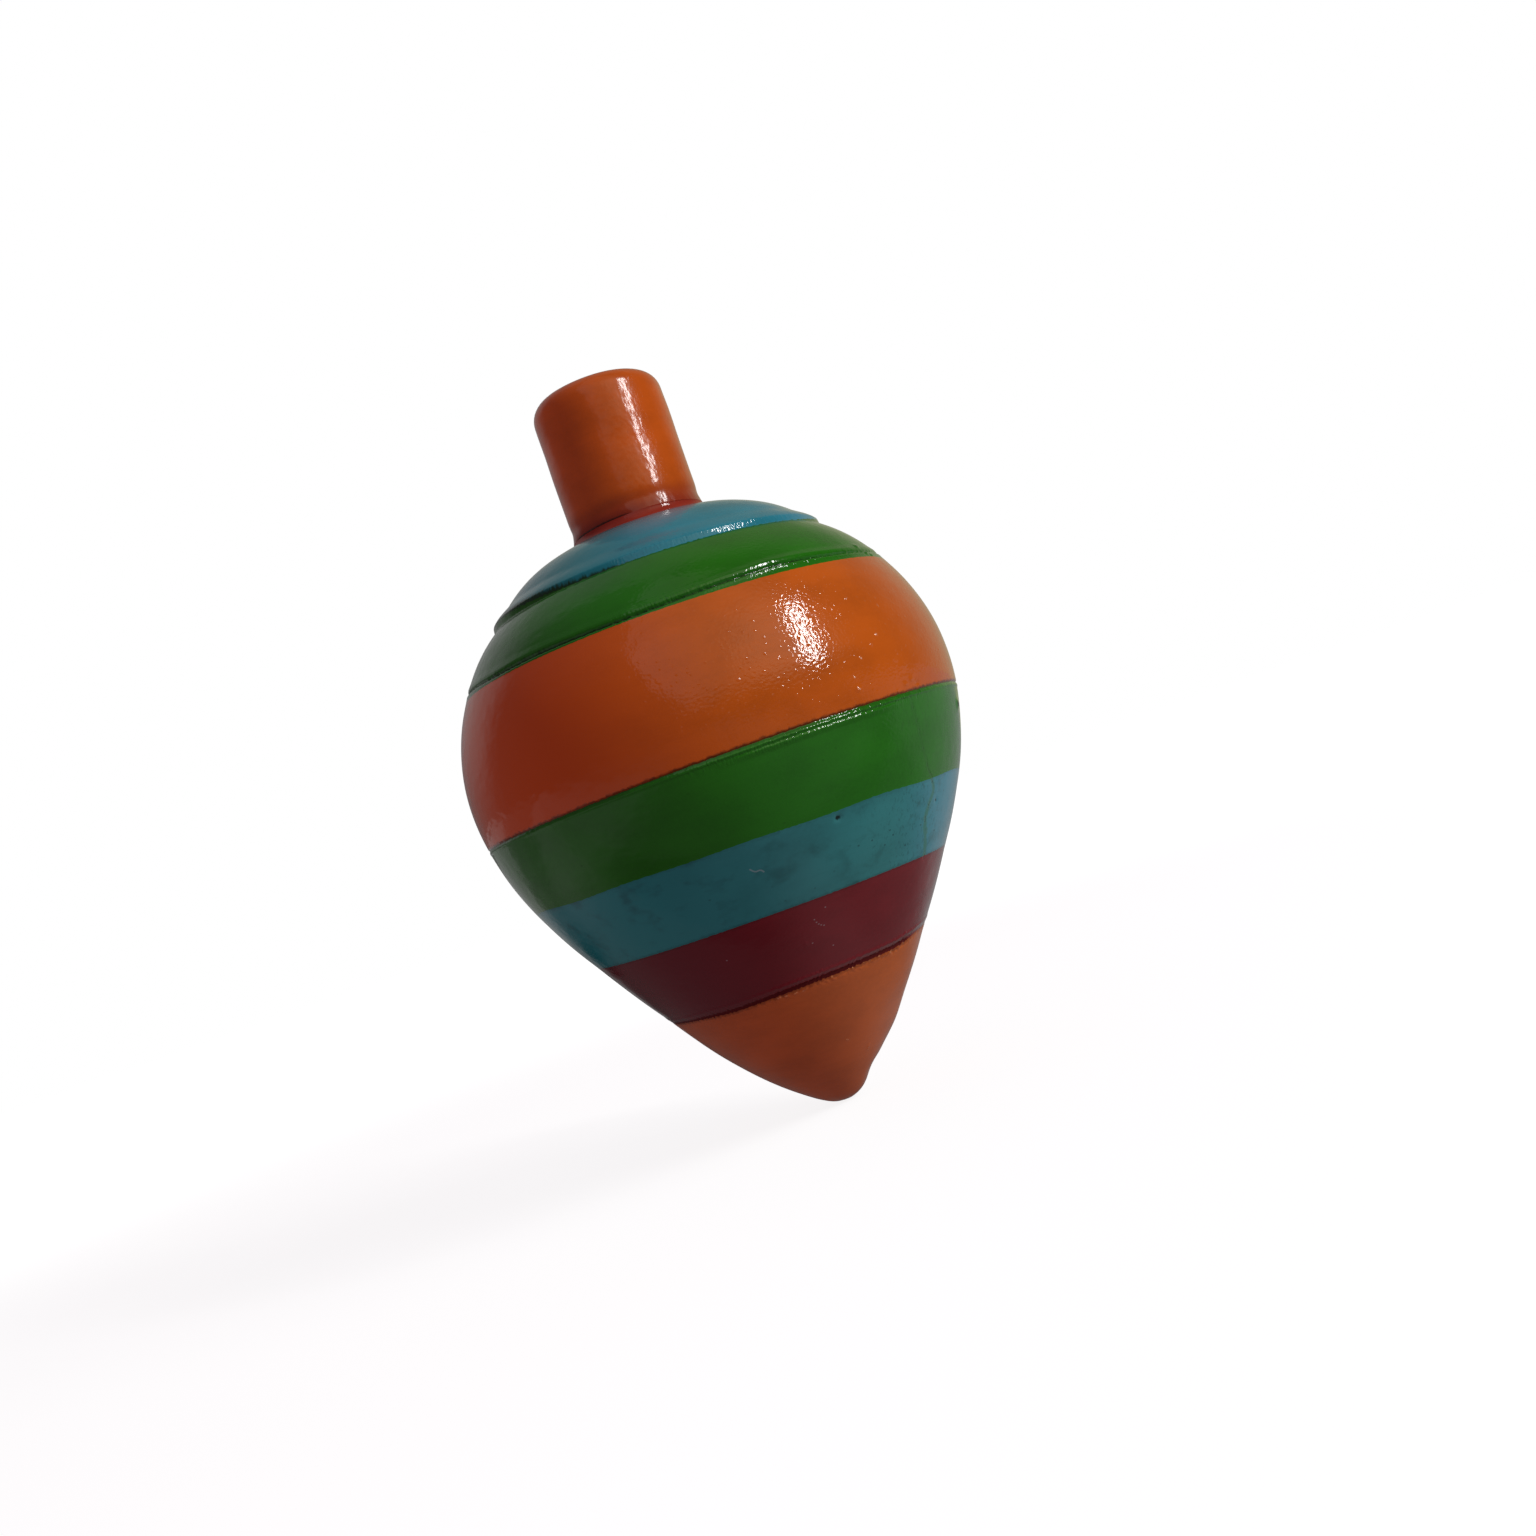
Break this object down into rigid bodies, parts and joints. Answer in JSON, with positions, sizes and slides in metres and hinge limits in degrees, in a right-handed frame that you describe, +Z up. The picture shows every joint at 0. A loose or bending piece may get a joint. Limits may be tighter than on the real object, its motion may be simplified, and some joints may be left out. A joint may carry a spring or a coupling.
{
  "type": "spinning top",
  "caption": "Pear-shaped wooden spinning top with a short round stem and a rounded point, turned and finished in bands of coloured lac, spun by hand from its stem.",
  "frame": {"origin": "end of the tip on the spin axis, where the top touches the floor when it spins", "axes": "+Z up the spin axis from the tip to the stem; the top is round, so X and Y are free"},
  "size_m": [0.0498, 0.0498, 0.0757],
  "materials": {
    "body_wood": "bare turned wood, hidden under the lac",
    "stem_wood": "bare turned wood, hidden under the lac",
    "orange_lac": "glossy orange lac with a fine orange peel",
    "red_lac": "glossy red lac",
    "blue_lac": "glossy teal blue lac with dark specks",
    "green_lac": "glossy leaf green lac",
    "maroon_lac": "semi-gloss maroon lac",
    "tip_lac": "satin brown-orange lac"
  },
  "bodies": {
    "root": {"turned_body": "body_wood", "stem_dowel": "stem_wood", "stem_lac": "orange_lac", "stem_collar_lac": "red_lac", "crown_lac": "blue_lac", "shoulder_lac": "green_lac", "belly_lac": "orange_lac", "waist_lac": "green_lac", "blue_band_lac": "blue_lac", "maroon_band_lac": "maroon_lac", "tip_lac": "tip_lac"}
  },
  "joints": []
}
